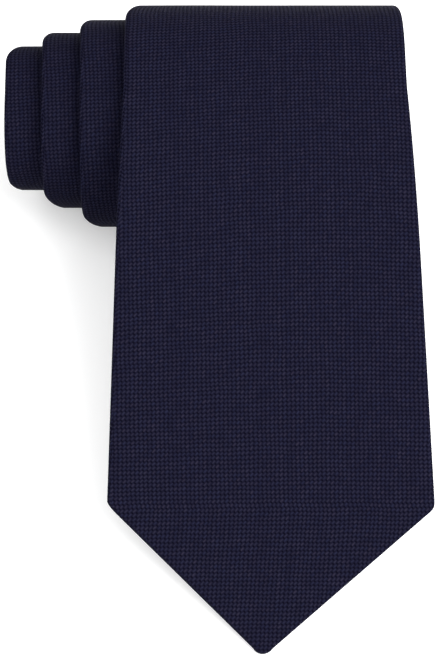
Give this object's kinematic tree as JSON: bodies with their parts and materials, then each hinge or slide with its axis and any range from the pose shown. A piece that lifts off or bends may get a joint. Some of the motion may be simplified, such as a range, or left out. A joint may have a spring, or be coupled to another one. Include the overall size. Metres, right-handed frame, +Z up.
{
  "type": "necktie",
  "caption": "Navy woven silk necktie rolled up for display, its turns drawn out in steps to one side and the wide pointed blade laid over the front.",
  "frame": {"origin": "middle of the object's box, on the surface that it lies on", "axes": "+Z up, +Y from the blade's point to the roll, +X to the right across the blade, towards the side away from the stepped turns"},
  "size_m": [0.11, 0.1728, 0.0546],
  "materials": {
    "navy_silk": "small square basket weave in navy silk with a soft sheen",
    "interlining_wool": "loosely woven, brushed cream wool",
    "tipping_silk": "plain navy lining with a low satin sheen",
    "sewing_thread": "twisted navy thread",
    "label_satin": "blank woven satin label with folded ends"
  },
  "bodies": {
    "roll": {"blade_shell_roll": "navy_silk", "blade_interlining_roll": "interlining_wool", "tail_shell_roll": "navy_silk", "tail_interlining_roll": "interlining_wool", "neck_shell": "navy_silk"},
    "front_blade": {"blade_shell_front": "navy_silk", "blade_interlining_front": "interlining_wool", "blade_tipping": "tipping_silk", "blade_bar_tack": "sewing_thread", "slip_stitch": "sewing_thread", "maker_label": "label_satin", "keeper_loop": "navy_silk", "keeper_stitches": "sewing_thread", "tail_shell_end": "navy_silk", "tail_interlining_end": "interlining_wool", "tail_tipping": "tipping_silk", "tail_bar_tack": "sewing_thread"},
    "care_tab": {"care_label": "label_satin"}
  },
  "joints": [
    {"name": "blade_lift", "type": "hinge", "parent": "roll", "child": "front_blade", "pos_m": [0.013, 0.0537, 0.0546], "axis": [-1, 0, 0], "range_deg": [0, 150]},
    {"name": "care_label_flip", "type": "hinge", "parent": "front_blade", "child": "care_tab", "pos_m": [0.0441, 0.03414, 0.05086], "axis": [1, 0, 0], "range_deg": [0, 60]}
  ]
}
